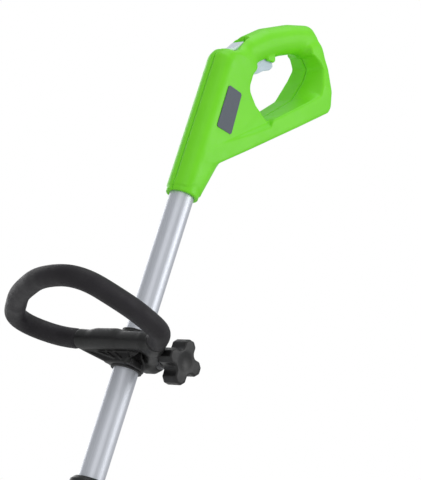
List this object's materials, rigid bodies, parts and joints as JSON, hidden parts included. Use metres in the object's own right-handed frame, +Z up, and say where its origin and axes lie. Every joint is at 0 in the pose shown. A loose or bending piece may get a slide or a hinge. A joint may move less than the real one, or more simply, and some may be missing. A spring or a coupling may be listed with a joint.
{
  "type": "string trimmer",
  "caption": "Corded string trimmer with a D-shaped rear handle, telescoping tube, clamped foam-covered assist loop, tilting motor head, guard and edging wheel.",
  "frame": {"origin": "on the shaft axis, half way along the bare stretch of upper tube between the rear handle and the assist handle", "axes": "+Z up the shaft to the rear handle, +X to the side the D-shaped handle hangs on, -Y to the clamp knob"},
  "size_m": [0.3771, 0.3272, 1.2635],
  "materials": {
    "shell_green": "fine moulded satin",
    "badge": "smooth satin label",
    "pale_control": "satin moulded",
    "tube": "satin anodised",
    "black_plastic": "fine spark-eroded texture",
    "foam": "closed-cell foam",
    "liner_rubber": "moulded",
    "mark": "printed",
    "steel": "zinc plated",
    "brass": "turned",
    "lead": "extruded sheath",
    "carbon": "pressed carbon",
    "switch_part": "moulded",
    "line": "extruded nylon"
  },
  "bodies": {
    "rear_handle": {"handle_shell_left": "shell_green", "handle_shell_right": "shell_green", "handle_screws": "steel", "handle_badges": "badge", "cord_inlet": "black_plastic", "inlet_blades": "brass", "handle_leads": "lead", "trigger_pin": "steel", "trigger_spring": "steel", "switch_body": "black_plastic", "lock_off_spring": "steel", "upper_tube": "tube", "coupler_base": "black_plastic", "coiled_lead": "lead"},
    "trigger": {"trigger": "pale_control"},
    "switch_plunger": {"switch_plunger": "switch_part"},
    "lock_off": {"lock_off_button": "pale_control"},
    "collar_nut": {"collar_nut": "black_plastic", "collar_marks": "mark"},
    "collet": {"collet": "black_plastic"},
    "lower_shaft": {"lower_tube": "tube", "telescope_bush": "black_plastic", "pivot_knuckle": "black_plastic", "pivot_pin": "steel", "pivot_spring": "steel"},
    "assist_slider": {"clamp_liner": "liner_rubber"},
    "assist_handle": {"assist_bracket": "black_plastic", "loop_core": "black_plastic", "loop_grip": "foam", "clamp_bolt": "steel"},
    "clamp_washer": {"clamp_washer": "steel"},
    "clamp_knob": {"clamp_knob": "black_plastic", "knob_insert": "brass"},
    "head": {"motor_housing_left": "shell_green", "motor_housing_right": "shell_green", "motor_base": "black_plastic", "housing_screws": "steel", "motor_stator": "steel", "bearing_upper": "steel", "bearing_lower": "steel", "carbon_brushes": "carbon", "brush_holders": "black_plastic", "guard": "black_plastic", "cutoff_blade": "steel", "guard_screws": "steel", "wheel_bracket": "black_plastic", "wheel_axle": "steel"},
    "pivot_button": {"pivot_button": "pale_control"},
    "rotor": {"armature": "steel", "cooling_fan": "black_plastic", "spool_housing": "black_plastic", "spool_spring": "steel", "cutting_line": "line", "line_eyelet": "brass", "spool_cap": "black_plastic"},
    "spool": {"spool": "black_plastic", "wound_line": "line"},
    "edge_wheel": {"edge_wheel": "black_plastic"}
  },
  "joints": [
    {"name": "trigger_pull", "type": "hinge", "parent": "rear_handle", "child": "trigger", "pos_m": [0.03777, 0, 0.28066], "axis": [0, -1, 0], "range_deg": [0, 9], "stiffness_Nm_per_rad": 0.9, "springref_deg": -20.05},
    {"name": "plunger_press", "type": "slide", "parent": "rear_handle", "child": "switch_plunger", "axis": [-0.6561, 0, 0.7547], "range_m": [0, 0.004]},
    {"name": "lock_off_slide", "type": "slide", "parent": "rear_handle", "child": "lock_off", "axis": [0.7771, 0, 0.6293], "range_m": [0, 0.007], "stiffness_N_per_m": 300, "springref_m": -0.004},
    {"name": "collar_twist", "type": "hinge", "parent": "rear_handle", "child": "collar_nut", "pos_m": [0, 0, -0.285], "axis": [0, 0, 1], "range_deg": [0, 90]},
    {"name": "lower_shaft_turn", "type": "hinge", "parent": "rear_handle", "child": "collet", "pos_m": [0, 0, -0.305], "axis": [0, 0, 1], "range_deg": [0, 180]},
    {"name": "telescope", "type": "slide", "parent": "collet", "child": "lower_shaft", "axis": [0, 0, 1], "range_m": [0, 0.18], "deforming": ["coiled_lead"]},
    {"name": "assist_height", "type": "slide", "parent": "rear_handle", "child": "assist_slider", "axis": [0, 0, 1], "range_m": [-0.1, 0.12]},
    {"name": "assist_turn", "type": "hinge", "parent": "assist_slider", "child": "assist_handle", "pos_m": [0, 0, -0.103], "axis": [0, 0, 1], "range_deg": [-30, 30]},
    {"name": "washer_travel", "type": "slide", "parent": "assist_handle", "child": "clamp_washer", "axis": [0, -1, 0], "range_m": [0, 0.0025]},
    {"name": "knob_turn", "type": "hinge", "parent": "clamp_washer", "child": "clamp_knob", "pos_m": [0.0215, -0.05, -0.104], "axis": [0, -1, 0], "range_deg": [0, 720]},
    {"name": "head_pivot", "type": "hinge", "parent": "lower_shaft", "child": "head", "pos_m": [0, 0, -0.69], "axis": [0, 1, 0], "range_deg": [-30, 45]},
    {"name": "pivot_button_press", "type": "slide", "parent": "head", "child": "pivot_button", "axis": [0, 1, 0], "range_m": [0, 0.004], "stiffness_N_per_m": 500, "springref_m": -0.003},
    {"name": "motor_spin", "type": "hinge", "parent": "head", "child": "rotor", "pos_m": [0.04101, 0, -0.77909], "axis": [-0.7071, 0, 0.7071], "continuous": true},
    {"name": "spool_index", "type": "hinge", "parent": "rotor", "child": "spool", "pos_m": [0.06576, 0, -0.80384], "axis": [-0.7071, 0, 0.7071], "continuous": true},
    {"name": "wheel_spin", "type": "hinge", "parent": "head", "child": "edge_wheel", "pos_m": [-0.03041, 0, -0.82081], "axis": [-0.7071, 0, 0.7071], "continuous": true}
  ],
  "couplings": [
    {"joint": "plunger_press", "follows": "trigger_pull", "m_per_rad": 0.0254},
    {"joint": "washer_travel", "follows": "knob_turn", "m_per_rad": 0.000198}
  ]
}
